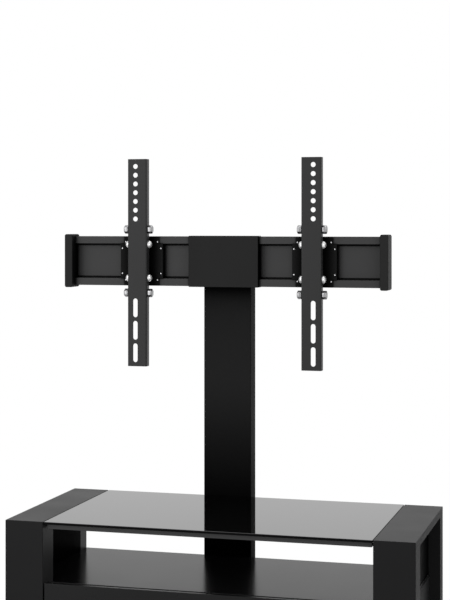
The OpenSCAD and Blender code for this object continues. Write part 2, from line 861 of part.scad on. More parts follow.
// A hexagonal nut with chamfered corners, with its flat face on x = 0, towards +X.
module cross_nut() {
    rotate([0, 90, 0]) intersection() {
        cylinder(r = hex_r, h = nut_len, $fn = 6);
        rotate_extrude() polygon([
            [0, 0], [hex_r - nut_chamfer, 0], [hex_r, nut_chamfer], [hex_r, nut_len - nut_chamfer],
            [hex_r - nut_chamfer, nut_len], [0, nut_len]
        ]);
    }
}

module arm_bolts(x) {
    color(zinc) translate([x, 0, 0]) {
        for (h = [-dome_reach, dome_reach]) translate([0, pin_y, rail_z + h]) {
            rod_x(dome_shank_r, arm_w);
            for (s = [-1, 1]) mirrored(s) translate([arm_w / 2, 0, 0]) dome();
        }
        for (h = [-cross_reach, cross_reach]) translate([0, cross_y, rail_z + h]) {
            rod_x(cross_shank_r, arm_w);
            for (s = [-1, 1]) mirrored(s) translate([arm_w / 2, 0, 0]) cross_nut();
        }
    }
}

module tilt_pin(x) {
    color(coated_steel) translate([x, pin_y, rail_z]) rod_x(pin_r, arm_w);
}

front_leg(-1);  // left_front_leg
back_leg(-1);  // left_back_leg
top_board(-1);  // left_top_board
bottom_board(-1);  // left_bottom_board
front_leg(1);  // right_front_leg
back_leg(1);  // right_back_leg
top_board(1);  // right_top_board
bottom_board(1);  // right_bottom_board
side_glass(-1);  // left_side_glass
side_glass(1);  // right_side_glass
side_board(-1);  // left_side_board
side_board(1);  // right_side_board
floor_glides();
top_glass();
front_bar();
rear_bar();
side_bar(-1);  // left_bar
side_bar(1);  // right_bar
bar_dowels();
shelf();
box_floor();
box_back();
inner_side(-1);  // left_inner_side
inner_side(1);  // right_inner_side
drawer_front();
drawer_side(-1);  // left_drawer_side
drawer_side(1);  // right_drawer_side
drawer_back();
drawer_bottom();
fixed_runner(-1);  // left_fixed_runner
fixed_runner(1);  // right_fixed_runner
middle_runner(-1);  // left_middle_runner
middle_runner(1);  // right_middle_runner
drawer_runner(-1);  // left_drawer_runner
drawer_runner(1);  // right_drawer_runner
crossbar(upper_crossbar_z);  // upper_crossbar
crossbar(lower_crossbar_z);  // lower_crossbar
bracket(upper_crossbar_z);  // upper_bracket
bracket(lower_crossbar_z);  // lower_bracket
bracket_bolts();
column();
column_foot();
column_cap();
head_plate();
rail();
rail_bolts();
rail_end_cap(-1);  // left_end_cap
rail_end_cap(1);  // right_end_cap
centre_cover();
slider(left_x);  // left_slider
slider(right_x);  // right_slider
rivets(left_x);  // left_rivets
rivets(right_x);  // right_rivets
arm(-1);  // left_arm
arm(1);  // right_arm
arm_bolts(left_x);  // left_arm_bolts
arm_bolts(right_x);  // right_arm_bolts
tilt_pin(left_x);  // left_tilt_pin
tilt_pin(right_x);  // right_tilt_pin
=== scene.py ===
"""Looks of a low black television stand whose rear column carries a rail with two screen arms."""

import logging
import math
from collections.abc import Callable, Iterable
from dataclasses import dataclass, field
from enum import Enum
from functools import cache
from typing import ClassVar

import bmesh
import bpy
from mathutils import Matrix, Vector


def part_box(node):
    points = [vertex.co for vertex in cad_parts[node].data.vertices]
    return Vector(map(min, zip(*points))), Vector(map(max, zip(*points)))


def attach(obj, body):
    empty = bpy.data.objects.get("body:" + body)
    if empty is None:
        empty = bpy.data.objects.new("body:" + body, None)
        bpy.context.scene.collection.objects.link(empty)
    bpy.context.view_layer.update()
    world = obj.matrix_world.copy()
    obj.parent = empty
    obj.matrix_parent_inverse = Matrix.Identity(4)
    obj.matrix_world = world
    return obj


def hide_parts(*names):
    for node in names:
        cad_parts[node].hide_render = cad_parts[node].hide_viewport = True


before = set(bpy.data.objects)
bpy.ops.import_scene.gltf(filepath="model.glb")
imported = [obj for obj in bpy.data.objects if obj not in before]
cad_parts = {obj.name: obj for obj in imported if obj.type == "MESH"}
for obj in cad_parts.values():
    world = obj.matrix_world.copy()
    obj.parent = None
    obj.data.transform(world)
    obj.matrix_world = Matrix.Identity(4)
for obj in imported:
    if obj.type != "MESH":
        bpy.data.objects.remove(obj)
log = logging.getLogger("tv_stand")

MM = 0.001
MICRON = 0.000001
SHARP_ANGLE = math.radians(35)
MERGE_DISTANCE = 2 * MICRON
FLAT_ANGLE = math.radians(0.4)
ROUND_PROFILE = 0.5
CUT_OVERRUN = 2 * MM
X_AXIS, Y_AXIS, Z_AXIS = Vector((1, 0, 0)), Vector((0, 1, 0)), Vector((0, 0, 1))

STAND = "stand"
DRAWER = "drawer"

Tree = bpy.types.NodeTree
Socket = bpy.types.NodeSocket
Piece = bpy.types.Object
Shape = bmesh.types.BMesh
Triple = tuple[float, float, float]
Outline = list[tuple[float, float]]
Places = list[tuple[Vector, Vector]]

# Euler turns that point a fastener, which is made along +X, the way that the key says.
TOWARDS = {
    "+X": Vector((0, 0, 0)),
    "-X": Vector((0, 0, math.pi)),
    "-Y": Vector((0, 0, -math.pi / 2)),
}

# Shares of a domed head's height and radius, and of a nut's length and width.
DOME_RIM = 0.16
DOME_RIM_TURN = 0.3
DOME_FOOT = 0.97
NUT_CHAMFER = 0.14
NUT_FACE = 0.98


class Side(Enum):
    """A side of the stand, with the sign of its X direction from the middle."""

    LEFT = -1
    RIGHT = 1

    @property
    def word(self) -> str:
        """The side's name as the frame's node names begin."""
        return self.name.lower()


class Grain(Enum):
    """The small relief that a finish carries, with its texture scales along X, Y and Z per metre."""

    PEEL = (420.0, 420.0, 420.0)
    POWDER = (1500.0, 1500.0, 1500.0)
    DRAWN = (14.0, 1900.0, 1900.0)
    SPARK = (2400.0, 2400.0, 2400.0)
    WIPED = (26.0, 70.0, 40.0)
    ROLLED = (90.0, 900.0, 240.0)
    LEAF = (22.0, 520.0, 520.0)


def math_node(tree: Tree, operation: str, *given: Socket | float) -> Socket:
    """Adds a math node.

    Args:
        tree: the node tree.
        operation: the node's operation.
        given: a socket to link or a value to set, for each input in turn.

    Returns:
        The node's result.
    """
    node = tree.nodes.new("ShaderNodeMath")
    node.operation = operation
    for socket, value in zip(node.inputs, given):
        if isinstance(value, Socket):
            tree.links.new(value, socket)
        else:
            socket.default_value = value
    return node.outputs["Value"]


def remap(
    tree: Tree,
    value: Socket,
    start: tuple[float, float],
    end: tuple[float, float],
    curve: str = "LINEAR",
) -> Socket:
    """Adds a node that maps one band of values to another and clamps what lies past it.

    Args:
        tree: the node tree.
        value: the value that is mapped.
        start: the band that it comes from.
        end: the band that it goes to.
        curve: the node's interpolation.

    Returns:
        The mapped value.
    """
    node = tree.nodes.new("ShaderNodeMapRange")
    node.interpolation_type = curve
    for word, band in (("From", start), ("To", end)):
        node.inputs[f"{word} Min"].default_value = band[0]
        node.inputs[f"{word} Max"].default_value = band[1]
    tree.links.new(value, node.inputs["Value"])
    return node.outputs["Result"]


@dataclass(frozen=True)
class Finish:
    """One surface finish, built as a node material.

    slot names the record's material slot that it belongs to; nothing here reads it. base and accent
    are linear colours that soft clouds blend, and grain_depth is in metres. The shade reach is how
    far a surface looks for neighbours, in metres, or zero; near them its colour and its gloss are
    darkened as painted shade. edge_specular, where it is given, is the specular level of the
    upright faces.
    """

    CLOUD_DETAIL: ClassVar[float] = 4.0
    CLOUD_BAND: ClassVar[tuple[float, float]] = (0.3, 0.7)
    GRAIN_DETAIL: ClassVar[float] = 2.0
    SHADE_SAMPLES: ClassVar[int] = 8
    SHADE_POWER: ClassVar[float] = 3.0
    UPRIGHT_BAND: ClassVar[tuple[float, float]] = (0.55, 0.85)

    name: str
    slot: str
    base: Triple
    accent: Triple
    roughness: float
    roughness_swing: float
    specular: float
    grain: Grain
    grain_depth: float
    metallic: float = 0.0
    cloud_scale: float = 7.0
    # painted shade: within this reach of neighbours, colour and gloss are darkened; zero for none
    shade_reach: float = 0.0
    edge_specular: float | None = None

    @cache
    def build(self) -> bpy.types.Material:
        """Makes the material, once, when it is first asked for.

        Returns:
            The finished material, which reads Object coordinates only.
        """
        material = bpy.data.materials.new(self.name)
        material.use_nodes = True
        tree = material.node_tree
        shader = tree.nodes["Principled BSDF"]
        shader.inputs["Metallic"].default_value = self.metallic
        shader.inputs["Specular IOR Level"].default_value = self.specular
        place = tree.nodes.new("ShaderNodeTexCoord").outputs["Object"]
        cloud = self._noise(tree, place, (self.cloud_scale,) * 3, self.CLOUD_DETAIL)
        tint = tree.nodes.new("ShaderNodeMix")
        tint.data_type = "RGBA"
        tint.inputs["A"].default_value = (*self.base, 1.0)
        tint.inputs["B"].default_value = (*self.accent, 1.0)
        tree.links.new(cloud, tint.inputs["Factor"])
        tree.links.new(tint.outputs["Result"], shader.inputs["Base Color"])
        self._link_roughness(tree, cloud, shader)
        # painted shade near neighbouring parts
        if self.shade_reach:
            self._link_shade(tree, tint.outputs["Result"], shader)
        if self.edge_specular is not None:
            self._link_edge(tree, shader)
        fine = self._noise(tree, place, self.grain.value, self.GRAIN_DETAIL)
        bump = tree.nodes.new("ShaderNodeBump")
        bump.inputs["Distance"].default_value = self.grain_depth
        bump.inputs["Strength"].default_value = 1.0
        tree.links.new(fine, bump.inputs["Height"])
        tree.links.new(bump.outputs["Normal"], shader.inputs["Normal"])
        return material

    def _link_roughness(self, tree: Tree, cloud: Socket, shader: bpy.types.Node) -> None:
        """Lets the clouds move the roughness a little either way.

        Args:
            tree: the material's node tree.
            cloud: the cloud texture's value.
            shader: the surface shader.
        """
        swing = self.roughness_swing
        band = (max(self.roughness - swing, 0.0), self.roughness + swing)
        tree.links.new(remap(tree, cloud, self.CLOUD_BAND, band), shader.inputs["Roughness"])

    def _link_shade(self, tree: Tree, tint: Socket, shader: bpy.types.Node) -> None:
        """Paints shade on: darkens the colour and the gloss where neighbours stand close.

        Args:
            tree: the material's node tree.
            tint: the finish's colour.
            shader: the surface shader.
        """
        near = tree.nodes.new("ShaderNodeAmbientOcclusion")
        near.samples = self.SHADE_SAMPLES
        near.inputs["Distance"].default_value = self.shade_reach
        depth = math_node(tree, "POWER", near.outputs["AO"], self.SHADE_POWER)
        gloss = math_node(tree, "MULTIPLY", depth, self.specular)
        tree.links.new(gloss, shader.inputs["Specular IOR Level"])
        # the painted shade darkens the base colour towards black
        painted_darkening = tree.nodes.new("ShaderNodeMix")
        painted_darkening.data_type = "RGBA"
        painted_darkening.inputs["A"].default_value = (0.0, 0.0, 0.0, 1.0)
        tree.links.new(depth, painted_darkening.inputs["Factor"])
        tree.links.new(tint, painted_darkening.inputs["B"])
        tree.links.new(painted_darkening.outputs["Result"], shader.inputs["Base Color"])

    def _link_edge(self, tree: Tree, shader: bpy.types.Node) -> None:
        """Takes the gloss off upright faces, which are ground and not polished.

        Args:
            tree: the material's node tree.
            shader: the surface shader.
        """
        normal = tree.nodes.new("ShaderNodeTexCoord").outputs["Normal"]
        parts = tree.nodes.new("ShaderNodeSeparateXYZ")
        tree.links.new(normal, parts.inputs["Vector"])
        flat = math_node(tree, "ABSOLUTE", parts.outputs["Z"])
        level = remap(tree, flat, self.UPRIGHT_BAND, (self.edge_specular, self.specular))
        tree.links.new(level, shader.inputs["Specular IOR Level"])

    @staticmethod
    def _noise(
        tree: Tree,
        place: Socket,
        scales: Triple,
        detail: float,
    ) -> Socket:
        """Adds a noise texture with its own scale along each axis.

        Args:
            tree: the material's node tree.
            place: the coordinates that the texture reads.
            scales: features per metre along X, Y and Z.
            detail: octaves of the noise.

        Returns:
            The noise's value socket.
        """
        stretch = tree.nodes.new("ShaderNodeMapping")
        stretch.inputs["Scale"].default_value = scales
        noise = tree.nodes.new("ShaderNodeTexNoise")
        noise.inputs["Scale"].default_value = 1.0
        noise.inputs["Detail"].default_value = detail
        tree.links.new(place, stretch.inputs["Vector"])
        tree.links.new(stretch.outputs["Vector"], noise.inputs["Vector"])
        return noise.outputs["Fac"]


class Palette(Enum):
    """Every finish on the object."""

    HOOP_LACQUER = Finish(
        "satin_black_lacquer", "lacquer", roughness=0.40, roughness_swing=0.03, specular=0.08,
        base=(0.0100, 0.0100, 0.0103), accent=(0.0125, 0.0125, 0.0128),
        grain=Grain.PEEL, grain_depth=4 * MICRON,
    )
    FRONT_LACQUER = Finish(
        "front_black_lacquer", "lacquer", roughness=0.27, roughness_swing=0.03, specular=0.16,
        base=(0.0058, 0.0058, 0.0060), accent=(0.0074, 0.0074, 0.0076),
        grain=Grain.PEEL, grain_depth=3 * MICRON,
    )
    SHELF_LACQUER = Finish(
        "polished_black_lacquer", "lacquer", roughness=0.19, roughness_swing=0.02, specular=0.068,
        base=(0.006, 0.006, 0.0065), accent=(0.008, 0.008, 0.0085),
        grain=Grain.PEEL, grain_depth=1.5 * MICRON,
    )
    TOP_GLASS = Finish(
        "black_polished_glass", "dark_glass", roughness=0.035, roughness_swing=0.01, specular=1.0,
        base=(0.0008, 0.0008, 0.0009), accent=(0.0012, 0.0012, 0.0013),
        grain=Grain.WIPED, grain_depth=0.4 * MICRON, edge_specular=0.05,
    )
    # painted shade darkens the side panes near the parts around them
    SIDE_GLASS = Finish(
        "dark_side_glass", "dark_glass", roughness=0.30, roughness_swing=0.03, specular=0.024,
        base=(0.0014, 0.0014, 0.0015), accent=(0.0020, 0.0020, 0.0021),
        grain=Grain.WIPED, grain_depth=0.4 * MICRON, shade_reach=0.3,
    )
    BAR_STEEL = Finish(
        "bar_powder_coat", "coated_steel", roughness=0.42, roughness_swing=0.04, specular=0.26,
        base=(0.030, 0.030, 0.0305), accent=(0.034, 0.034, 0.0345),
        grain=Grain.POWDER, grain_depth=12 * MICRON,
    )
    # painted shade darkens the column towards the glass top and under the rail
    COLUMN_STEEL = Finish(
        "column_powder_coat", "coated_steel", roughness=0.52, roughness_swing=0.04, specular=0.015,
        base=(0.0185, 0.0185, 0.0187), accent=(0.0210, 0.0210, 0.0212),
        grain=Grain.POWDER, grain_depth=10 * MICRON, shade_reach=0.25,
    )
    ARM_STEEL = Finish(
        "arm_powder_coat", "coated_steel", roughness=0.42, roughness_swing=0.04, specular=0.19,
        base=(0.0225, 0.0225, 0.0228), accent=(0.0255, 0.0255, 0.0258),
        grain=Grain.POWDER, grain_depth=12 * MICRON,
    )
    # painted shade blackens the rail's grooves and its web next to the caps and the cover
    RAIL_METAL = Finish(
        "black_anodised_extrusion", "rail_metal", roughness=0.42, roughness_swing=0.03, specular=0.13,
        base=(0.045, 0.045, 0.0455), accent=(0.052, 0.052, 0.0525),
        grain=Grain.DRAWN, grain_depth=6 * MICRON, shade_reach=0.0055,
    )
    # painted shade darkens the caps' inner sides next to the rail
    CAP_PLASTIC = Finish(
        "moulded_cap_black", "black_plastic", roughness=0.52, roughness_swing=0.04, specular=0.05,
        base=(0.021, 0.021, 0.021), accent=(0.025, 0.025, 0.025),
        grain=Grain.SPARK, grain_depth=12 * MICRON, shade_reach=0.12,
    )
    # painted shade darkens the cover's sides next to the rail
    COVER_PLASTIC = Finish(
        "moulded_cover_black", "black_plastic", roughness=0.52, roughness_swing=0.04, specular=0.12,
        base=(0.0095, 0.0095, 0.0095), accent=(0.012, 0.012, 0.012),
        grain=Grain.SPARK, grain_depth=12 * MICRON, shade_reach=0.12,
    )
    # painted shade darkens the sliders next to the arms
    SLIDER_PLASTIC = Finish(
        "moulded_slider_black", "black_plastic", roughness=0.55, roughness_swing=0.04, specular=0.05,
        base=(0.0150, 0.0150, 0.0150), accent=(0.0175, 0.0175, 0.0175),
        grain=Grain.SPARK, grain_depth=12 * MICRON, shade_reach=0.04,
    )
    ZINC = Finish(
        "bright_zinc", "zinc", roughness=0.20, roughness_swing=0.05, specular=0.5, metallic=1.0,
        base=(0.40, 0.40, 0.41), accent=(0.52, 0.52, 0.53),
        grain=Grain.ROLLED, grain_depth=6 * MICRON, cloud_scale=120.0,
    )
    NUT_STEEL = Finish(
        "plated_nut", "zinc", roughness=0.27, roughness_swing=0.05, specular=0.5, metallic=1.0,
        base=(0.24, 0.24, 0.245), accent=(0.33, 0.33, 0.335),
        grain=Grain.ROLLED, grain_depth=6 * MICRON, cloud_scale=120.0,
    )
    POLISHED_DOME = Finish(
        "polished_dome", "zinc", roughness=0.14, roughness_swing=0.03, specular=0.5, metallic=0.6,
        base=(0.76, 0.76, 0.76), accent=(0.82, 0.82, 0.82),
        grain=Grain.ROLLED, grain_depth=2 * MICRON, cloud_scale=160.0,
    )
    INNER_BOARD = Finish(
        "black_melamine", "inner_board", roughness=0.48, roughness_swing=0.04, specular=0.4,
        base=(0.020, 0.020, 0.020), accent=(0.027, 0.027, 0.027),
        grain=Grain.LEAF, grain_depth=10 * MICRON,
    )
    PAD_RUBBER = Finish(
        "black_rubber", "pad_rubber", roughness=0.80, roughness_swing=0.05, specular=0.3,
        base=(0.020, 0.020, 0.020), accent=(0.026, 0.026, 0.026),
        grain=Grain.SPARK, grain_depth=20 * MICRON,
    )

    @property
    def material(self) -> bpy.types.Material:
        """The finish's material, the same one each time."""
        return self.value.build()


@dataclass
class Workshop:
    """The tools that turn CAD nodes and outlines into finished pieces."""

    FULL_LENGTH: ClassVar[float] = 0.9

    made: list[str] = field(default_factory=list)

    def dress_node(self, node: str, finish: Palette) -> None:
        """Gives a CAD node that stays a better material.

        Args:
            node: the node's name.
            finish: the finish that it gets.
        """
        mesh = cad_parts[node].data
        mesh.materials.clear()
        mesh.materials.append(finish.material)
        log.info("%s keeps its shape, in %s", node, finish.value.name)

    def add(self, name: str, shape: Shape) -> Piece:
        """Turns a bmesh into an object in the scene.

        Args:
            name: the piece's name.
            shape: the mesh, which is freed.

        Returns:
            The new object, with no material yet.
        """
        mesh = bpy.data.meshes.new(name)
        shape.to_mesh(mesh)
        shape.free()
        piece = bpy.data.objects.new(name, mesh)
        bpy.context.scene.collection.objects.link(piece)
        return piece

    def settle(self, piece: Piece) -> None:
        """Replaces a piece's mesh by what its modifiers make of it, and removes them.

        Args:
            piece: the piece, whose modifiers are all applied.
        """
        depsgraph = bpy.context.evaluated_depsgraph_get()
        mesh = bpy.data.meshes.new_from_object(piece.evaluated_get(depsgraph), depsgraph=depsgraph)
        piece.modifiers.clear()
        piece.data = mesh

    def round_edges(self, piece: Piece, width: float, segments: int = 3) -> None:
        """Rounds a piece's sharp edges and shades it smooth between them.

        Args:
            piece: the piece.
            width: how far the rounding reaches from an edge, in metres.
            segments: facets across the rounding.
        """
        bevel = piece.modifiers.new("rounding", "BEVEL")
        bevel.width = width
        bevel.segments = segments
        bevel.limit_method = "ANGLE"
        bevel.angle_limit = SHARP_ANGLE
        bevel.use_clamp_overlap = True
        self.settle(piece)
        self.shade(piece)

    def round_along(self, piece: Piece, axis: Vector, width: float, segments: int = 3) -> None:
        """Rounds only the sharp edges that run a piece's whole length along an axis.

        Args:
            piece: the piece.
            axis: the direction, of length one.
            width: how far the rounding reaches from an edge, in metres.
            segments: facets across the rounding.
        """
        shape = bmesh.new()
        shape.from_mesh(piece.data)
        along = [vert.co.dot(axis) for vert in shape.verts]
        shortest = (max(along) - min(along)) * self.FULL_LENGTH
        edges = [
            edge for edge in shape.edges
            if abs((edge.verts[0].co - edge.verts[1].co).dot(axis)) > shortest
            and edge.calc_face_angle(0.0) > SHARP_ANGLE
        ]
        bevel_edges(shape, edges, width, segments)
        shape.to_mesh(piece.data)
        shape.free()

    def shade(self, piece: Piece) -> None:
        """Shades a piece smooth between its sharp edges, its large faces flat.

        Args:
            piece: the piece.
        """
        piece.data.shade_smooth()
        piece.data.set_sharp_from_angle(angle=SHARP_ANGLE)
        weighted = piece.modifiers.new("even_shading", "WEIGHTED_NORMAL")
        weighted.keep_sharp = True
        self.settle(piece)

    def hand_over(self, piece: Piece, body: str, finish: Palette, nodes: Iterable[str]) -> None:
        """Gives a piece its material and its body, and hides the CAD nodes that it stands for.

        Args:
            piece: the finished piece.
            body: the body that it rides on.
            finish: its finish.
            nodes: the CAD nodes that it replaces.
        """
        piece.data.materials.clear()
        piece.data.materials.append(finish.material)
        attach(piece, body)
        replaced = list(nodes)
        if replaced:
            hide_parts(*replaced)
        self.made.append(piece.name)
        log.info("%s rides on %s and replaces %s", piece.name, body, replaced or "nothing")

    @staticmethod
    def clean(shape: Shape) -> None:
        """Joins a mesh's doubled points and clears its flat seams."""
        bmesh.ops.remove_doubles(shape, verts=shape.verts, dist=MERGE_DISTANCE)
        bmesh.ops.dissolve_limit(
            shape, angle_limit=FLAT_ANGLE, verts=shape.verts, edges=shape.edges
        )

    def copy_of(self, name: str, node: str) -> Piece:
        """Copies a CAD node's mesh and joins its loose triangles.

        Args:
            name: the copy's name.
            node: the node's name.

        Returns:
            The copy, a closed mesh with large flat faces.
        """
        shape = bmesh.new()
        shape.from_mesh(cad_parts[node].data)
        self.clean(shape)
        return self.add(name, shape)

    def rounded_node(
        self, node: str, name: str, width: float, finish: Palette, body: str = STAND
    ) -> None:
        """Replaces a CAD node by a copy with rounded edges.

        Args:
            node: the node's name.
            name: the piece's name.
            width: reach of the rounding, in metres.
            finish: the piece's finish.
            body: the body that it rides on.
        """
        piece = self.copy_of(name, node)
        self.round_edges(piece, width)
        self.hand_over(piece, body, finish, [node])

    def join_blocks(self, name: str, blocks: list[tuple[Vector, Vector]]) -> Piece:
        """Unites boxes into one body without seams.

        Args:
            name: the piece's name.
            blocks: lowest and highest corner of each box.

        Returns:
            The united piece.
        """
        piece = self.add(name, block(*blocks[0]))
        for bounds in blocks[1:]:
            self.combine(piece, self.add(f"{name}_part", block(*bounds)), "UNION")
        return piece

    def combine(self, piece: Piece, other: Piece, operation: str) -> None:
        """Unites a piece with another or cuts the other from it, and deletes the other.

        Args:
            piece: the piece that stays.
            other: the piece that is used up.
            operation: the boolean modifier's operation.
        """
        boolean = piece.modifiers.new("join", "BOOLEAN")
        boolean.operation = operation
        boolean.solver = "EXACT"
        boolean.object = other
        self.settle(piece)
        bpy.data.objects.remove(other)
        shape = bmesh.new()
        shape.from_mesh(piece.data)
        self.clean(shape)
        shape.to_mesh(piece.data)
        shape.free()


def block(low: Vector, high: Vector) -> Shape:
    """Makes a box from its corners.

    Args:
        low: lowest corner.
        high: highest corner.

    Returns:
        The box.
    """
    shape = bmesh.new()
    place = Matrix.Translation((low + high) / 2) @ Matrix.Diagonal((*(high - low), 1.0))
    bmesh.ops.create_cube(shape, size=1.0, matrix=place)
    return shape


def prism(
    outline: Outline,
    start: float,
    end: float,
    place: Callable[[float, float, float], Triple],
) -> Shape:
    """Stretches an outline between two heights.

    Args:
        outline: corners of a simple outline.
        start: height of its first face.
        end: height of its last face.
        place: turns two outline coordinates and a height into a point.

    Returns:
        The closed prism, faces outwards.
    """
    shape = bmesh.new()
    rings = [[shape.verts.new(place(u, v, h)) for u, v in outline] for h in (start, end)]
    count = len(outline)
    for i in range(count):
        j = (i + 1) % count
        shape.faces.new((rings[0][i], rings[0][j], rings[1][j], rings[1][i]))
    shape.faces.new(rings[0])
    shape.faces.new(rings[1])
    bmesh.ops.recalc_face_normals(shape, faces=shape.faces)
    return shape


def gather(shapes: list[Shape]) -> Shape:
    """Puts several shapes into one mesh.

    Args:
        shapes: the shapes, which are freed.

    Returns:
        The mesh of them all.
    """
    whole = bmesh.new()
    for shape in shapes:
        mesh = bpy.data.meshes.new("part")
        shape.to_mesh(mesh)
        shape.free()
        whole.from_mesh(mesh)
        bpy.data.meshes.remove(mesh)
    return whole


def lathe(profile: Outline, sides: int) -> Shape:
    """Turns a profile about X.

    Args:
        profile: pairs of place along X and radius, from one end to the other.
        sides: facets round the axis.

    Returns:
        The closed solid of revolution.
    """
    shape = bmesh.new()
    rings = []
    for along, radius in profile:
        if radius == 0:
            rings.append([shape.verts.new((along, 0, 0))])
            continue
        turns = [2 * math.pi * i / sides for i in range(sides)]
        rings.append(
            [shape.verts.new((along, radius * math.sin(a), radius * math.cos(a))) for a in turns]
        )
    for first, second in zip(rings, rings[1:]):
        for i in range(sides):
            j = (i + 1) % sides
            points = [first[i % len(first)], first[j % len(first)]]
            points += [second[j % len(second)], second[i % len(second)]]
            shape.faces.new(dict.fromkeys(points))
    for ring in (rings[0], rings[-1]):
        if len(ring) > 1:
            shape.faces.new(ring)
    bmesh.ops.recalc_face_normals(shape, faces=shape.faces)
    return shape


def bevel_edges(
    shape: Shape, edges: Iterable[bmesh.types.BMEdge], width: float, segments: int
) -> None:
    """Rounds edges of a shape.

    Args:
        shape: the shape.
        edges: the edges.
        width: how far the rounding reaches from an edge, in metres.
        segments: facets across the rounding.
    """
    bmesh.ops.bevel(
        shape, geom=list(edges), offset=width, segments=segments, affect="EDGES",
        profile=ROUND_PROFILE,
    )


def dome_profile(radius: float, height: float, steps: int = 12) -> Outline:
    """Outline of a domed head with a short straight rim.

    Args:
        radius: the head's radius.
        height: how far it stands out.
        steps: points on the dome.

    Returns:
        Pairs of place along the axis and radius.
    """
    rim = height * DOME_RIM
    turns = [math.pi / 2 * i / steps for i in range(steps + 1)]
    dome = [(rim + (height - rim) * math.sin(a), radius * math.cos(a)) for a in turns]
    foot = [(0.0, radius * DOME_FOOT), (rim * DOME_RIM_TURN, radius)]
    return [*foot, *dome[:-1], (height, 0.0)]


def hex_nut(flats: float, length: float) -> Shape:
    """A hexagonal nut with its corners turned down at both ends.

    Args:
        flats: width across the flats.
        length: length along X.

    Returns:
        The nut, from the origin towards +X.
    """
    corner, face, inset = flats / math.sqrt(3), flats / 2 * NUT_FACE, length * NUT_CHAMFER
    rings = [(0.0, face), (inset, corner), (length - inset, corner), (length, face)]
    return lathe(rings, sides=6)


def slot_outline(x: float, z: float, radius: float, straight: float, steps: int = 16) -> Outline:
    """Outline of an upright slot, or of a round hole where its straight part is zero.

    Args:
        x: the middle's X.
        z: the middle's Z.
        radius: radius of its ends.
        straight: length between the ends' centres.
        steps: facets on each end.

    Returns:
        The outline as pairs of X and Z.
    """
    outline = []
    for way in (1, -1):
        for i in range(steps + (1 if straight else 0)):
            a = math.pi * i / steps + (0 if way > 0 else math.pi)
            outline.append((x + radius * math.cos(a), z + way * straight / 2 + radius * math.sin(a)))
    return outline


class FastenerTree:
    """Geometry Nodes that stand a template on each point of a mesh, turned as the point says."""

    AIM = "aim"
    INPUTS = (
        ("Geometry", "Geometry"), ("Template", "Object"), ("Size", "Float"),
        ("Loose Turn", "Float"), ("Seed", "Int"), ("Finish", "Material"),
    )

    def __init__(self) -> None:
        """Builds the tree once."""
        group = bpy.data.node_groups.new("fastener_row", "GeometryNodeTree")
        for word, kind in self.INPUTS:
            group.interface.new_socket(word, in_out="INPUT", socket_type=f"NodeSocket{kind}")
        group.interface.new_socket("Geometry", in_out="OUTPUT", socket_type="NodeSocketGeometry")
        self.group = group
        self._wire()

    def _wire(self) -> None:
        """Adds the nodes and links them."""
        nodes, links = self.group.nodes, self.group.links
        given = nodes.new("NodeGroupInput").outputs
        template = nodes.new("GeometryNodeObjectInfo")
        aim = nodes.new("GeometryNodeInputNamedAttribute")
        aim.data_type = "FLOAT_VECTOR"
        aim.inputs["Name"].default_value = self.AIM
        stand = nodes.new("GeometryNodeInstanceOnPoints")
        least = math_node(self.group, "MULTIPLY", given["Loose Turn"], -1.0)
        chance = nodes.new("FunctionNodeRandomValue")
        chance.data_type = "FLOAT"
        lowest, highest, drawn = chance.inputs[2], chance.inputs[3], chance.outputs[1]
        along = nodes.new("ShaderNodeCombineXYZ")
        turn = nodes.new("GeometryNodeRotateInstances")
        realize = nodes.new("GeometryNodeRealizeInstances")
        paint = nodes.new("GeometryNodeSetMaterial")
        result = nodes.new("NodeGroupOutput").inputs
        links.new(given["Geometry"], stand.inputs["Points"])
        links.new(given["Template"], template.inputs["Object"])
        links.new(template.outputs["Geometry"], stand.inputs["Instance"])
        links.new(aim.outputs["Attribute"], stand.inputs["Rotation"])
        links.new(given["Size"], stand.inputs["Scale"])
        links.new(least, lowest)
        links.new(given["Loose Turn"], highest)
        links.new(given["Seed"], chance.inputs["Seed"])
        links.new(drawn, along.inputs["X"])
        links.new(stand.outputs["Instances"], turn.inputs["Instances"])
        links.new(along.outputs["Vector"], turn.inputs["Rotation"])
        links.new(turn.outputs["Instances"], realize.inputs["Geometry"])
        links.new(realize.outputs["Geometry"], paint.inputs["Geometry"])
        links.new(given["Finish"], paint.inputs["Material"])
        links.new(paint.outputs["Geometry"], result["Geometry"])

    def _identifier(self, name: str) -> str:
        """Finds the identifier of a named input.

        Args:
            name: the input's name.

        Returns:
            The identifier that a modifier knows it by.
        """
        for item in self.group.interface.items_tree:
            if item.item_type == "SOCKET" and item.in_out == "INPUT" and item.name == name:
                return item.identifier
        raise KeyError(name)

    def row(
        self,
        shop: Workshop,
        name: str,
        template: Shape,
        places: Places,
        finish: Palette,
        loose_turn: float = 0.0,
        seed: int = 0,
    ) -> Piece:
        """Makes a row of equal fasteners as one plain mesh.

        Args:
            shop: the workshop that keeps the pieces.
            name: the row's name.
            template: one fastener about the origin, along +X.
            places: a point and an Euler turn for each fastener.
            finish: their finish.
            loose_turn: how far each may stand turned about its own axis, in radians.
            seed: seed of those turns.

        Returns:
            The row.
        """
        pattern = shop.add(f"{name}_template", template)
        pattern.data.shade_smooth()
        pattern.data.set_sharp_from_angle(angle=SHARP_ANGLE)
        points = bmesh.new()
        for place, _ in places:
            points.verts.new(place)
        row = shop.add(name, points)
        aim = row.data.attributes.new(self.AIM, "FLOAT_VECTOR", "POINT")
        for entry, (_, turn) in zip(aim.data, places):
            entry.vector = turn
        nodes = row.modifiers.new("fasteners", "NODES")
        nodes.node_group = self.group
        values = {
            "Template": pattern, "Size": 1.0, "Loose Turn": loose_turn, "Seed": seed,
            "Finish": finish.material,
        }
        for word, value in values.items():
            nodes[self._identifier(word)] = value
        shop.settle(row)
        bpy.data.objects.remove(pattern)
        return row


